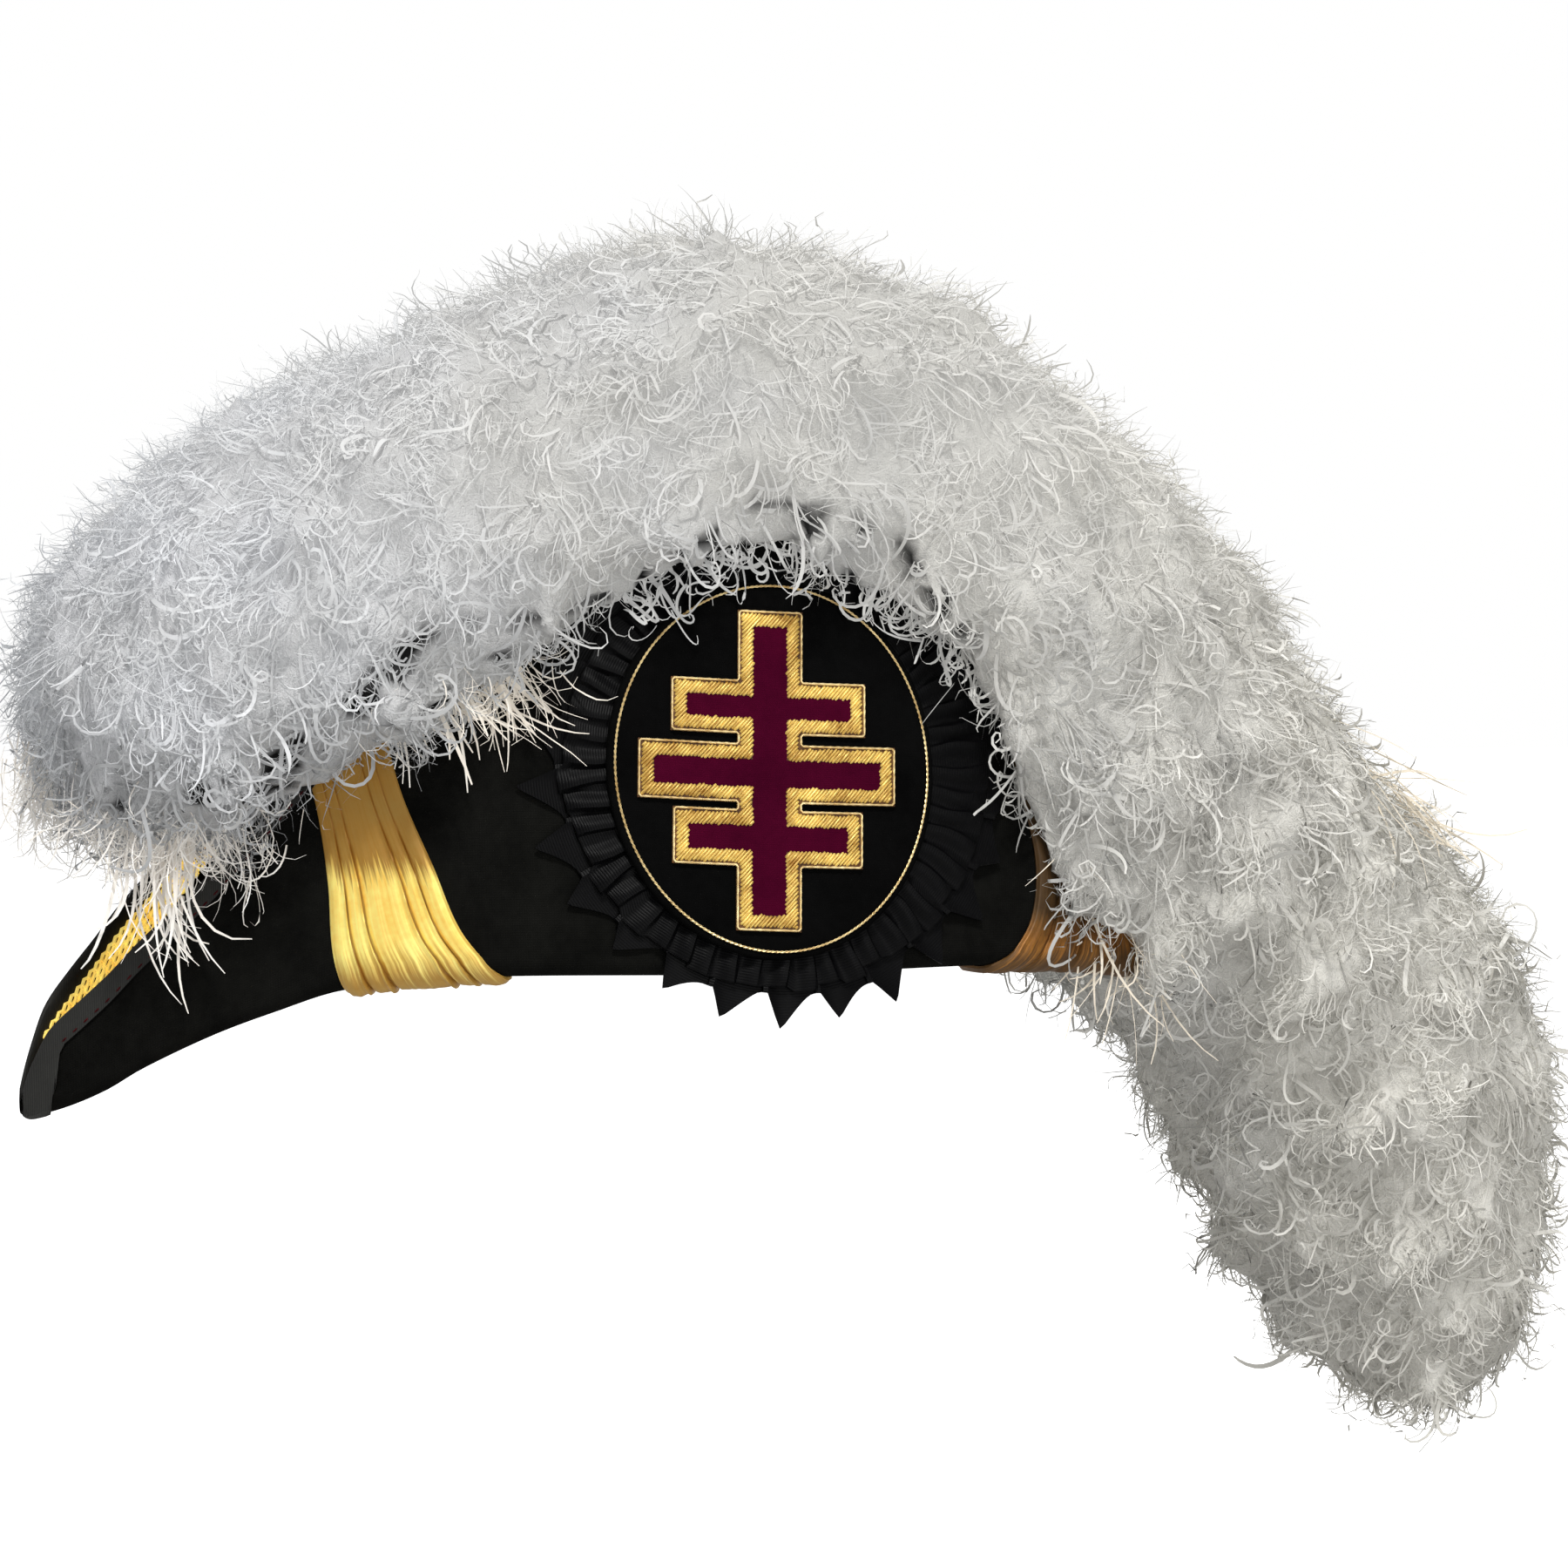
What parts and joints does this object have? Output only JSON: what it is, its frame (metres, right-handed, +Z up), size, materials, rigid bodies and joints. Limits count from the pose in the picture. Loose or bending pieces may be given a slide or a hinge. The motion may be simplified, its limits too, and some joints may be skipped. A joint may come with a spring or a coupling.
{
  "type": "plumed dress hat",
  "caption": "Fore-and-aft dress hat: black turned-up sides round an oval skull, with gold ribbon, a pleated rosette, an embroidered patch and a long curly plume.",
  "frame": {"origin": "centre of the head opening, in the plane of its rim, where a head meets the hat", "axes": "+Z up out of the top of the hat, -X towards the front peak, -Y out of the hat's left side, which carries the rosette"},
  "size_m": [0.4995, 0.2002, 0.3812],
  "materials": {
    "black_cloth": "black napped cloth, matt",
    "black_ribbon": "black ribbed ribbon, slightly glossy",
    "gold_ribbon": "gold satin ribbon with metal thread",
    "gold_lace": "gold metal-thread mesh lace",
    "gold_thread": "gold satin-stitched thread",
    "maroon_cloth": "dark maroon cloth, matt",
    "white_feather": "curly white ostrich feather"
  },
  "bodies": {
    "root": {"crown": "black_cloth", "left_side": "black_cloth", "right_side": "black_cloth", "left_binding": "black_ribbon", "right_binding": "black_ribbon", "left_lace": "gold_lace", "right_lace": "gold_lace", "band_front_left": "gold_ribbon", "band_front_right": "gold_ribbon", "band_rear_left": "gold_ribbon", "band_rear_right": "gold_ribbon", "rosette_points": "black_ribbon", "rosette_pleats": "black_ribbon", "patch_disc": "black_cloth", "patch_cord": "gold_thread", "cross_border": "gold_thread", "cross_fill": "maroon_cloth", "plume_front": "white_feather", "plume_crest": "white_feather", "plume_fall": "white_feather", "plume_tail": "white_feather"}
  },
  "joints": []
}
